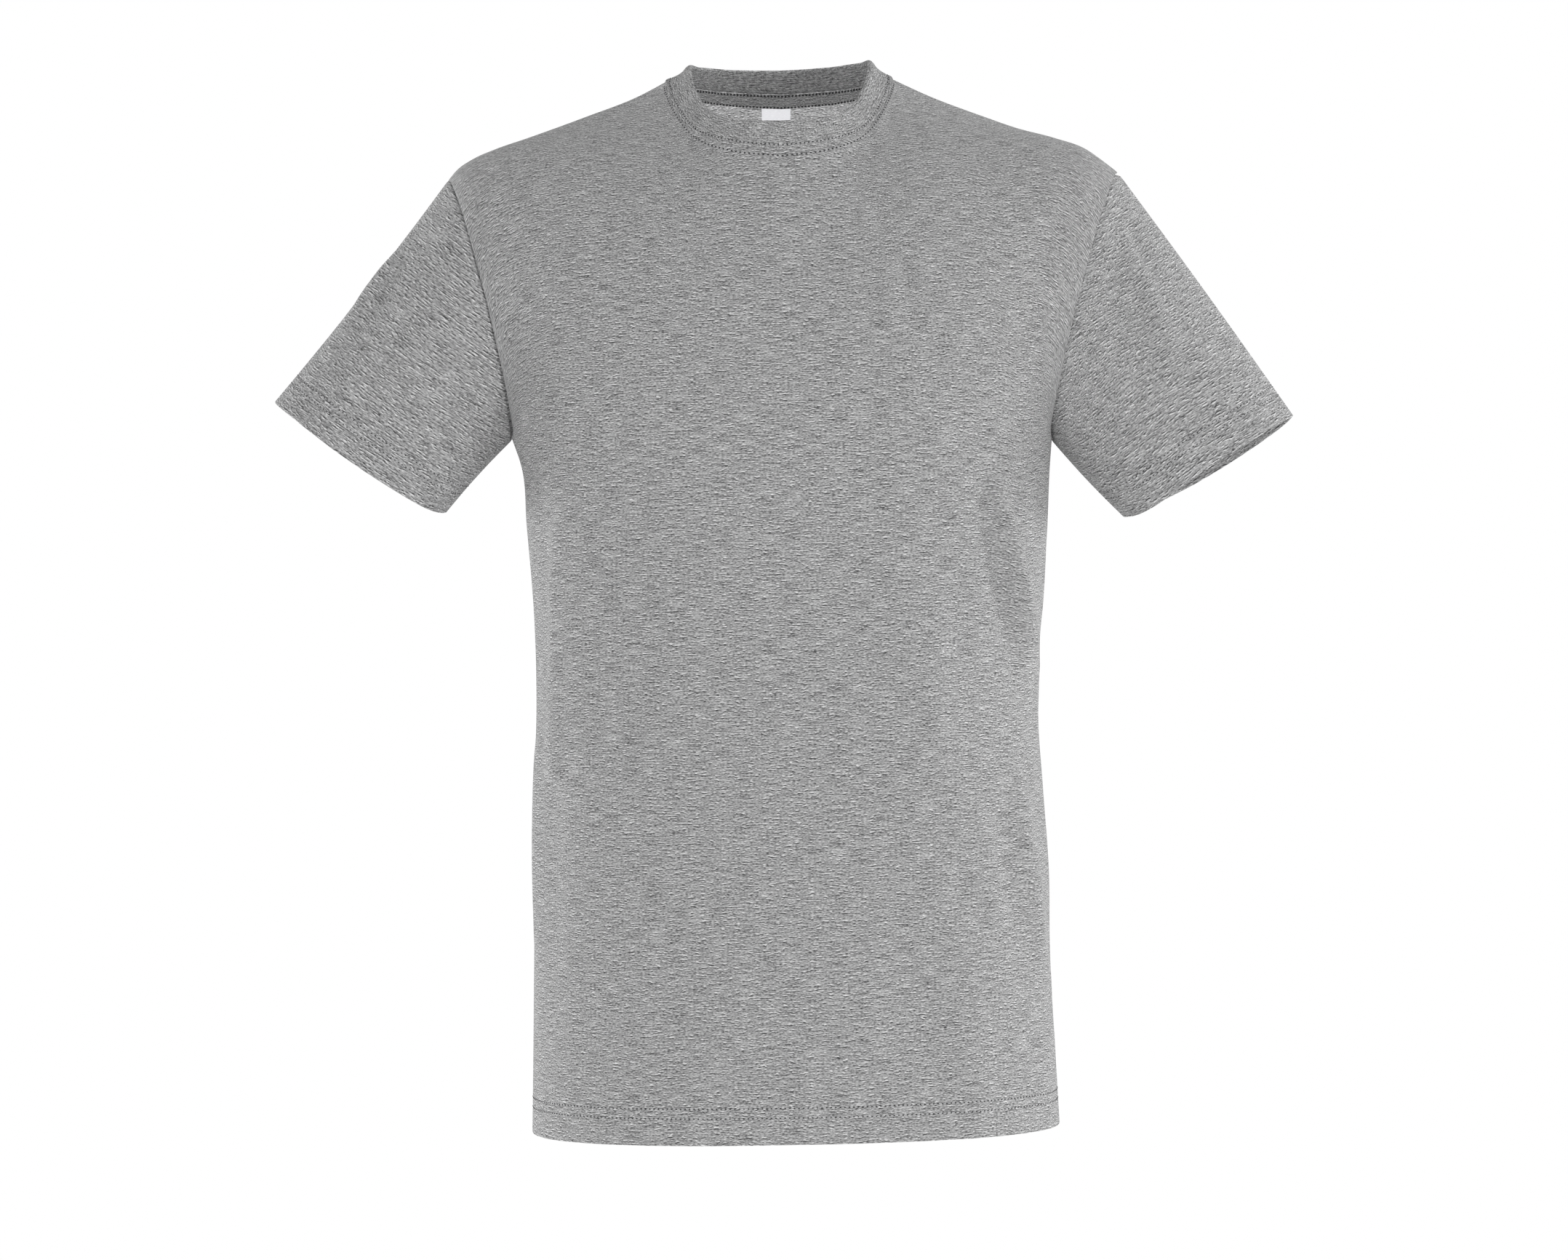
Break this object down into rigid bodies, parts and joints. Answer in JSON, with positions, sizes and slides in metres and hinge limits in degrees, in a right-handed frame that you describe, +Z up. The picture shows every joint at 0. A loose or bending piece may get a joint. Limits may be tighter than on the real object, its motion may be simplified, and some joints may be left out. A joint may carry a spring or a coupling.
{
  "type": "crew neck t-shirt",
  "caption": "Short sleeved crew neck t-shirt in heather grey jersey, filled out as if worn, with a ribbed collar, open hem and cuffs, neck tape and a bare label.",
  "frame": {"origin": "middle of the neck opening at the height of the shoulder seams' neck ends, where the shirt rests on a wearer or a hanger", "axes": "+Z up along the body, the front of the shirt faces -Y, and +X is the viewer's right when looking at the front"},
  "size_m": [0.6889, 0.249, 0.7266],
  "materials": {
    "jersey": "matte heather grey cotton jersey, fine knit with flecks along the courses",
    "rib": "matte heather grey 1x1 rib knit",
    "tape": "matte grey cotton tape",
    "label": "smooth white satin ribbon"
  },
  "bodies": {
    "root": {"front": "jersey", "back": "jersey", "sleeve_left": "jersey", "sleeve_right": "jersey", "collar": "rib", "neck_tape": "tape", "label": "label"}
  },
  "joints": []
}
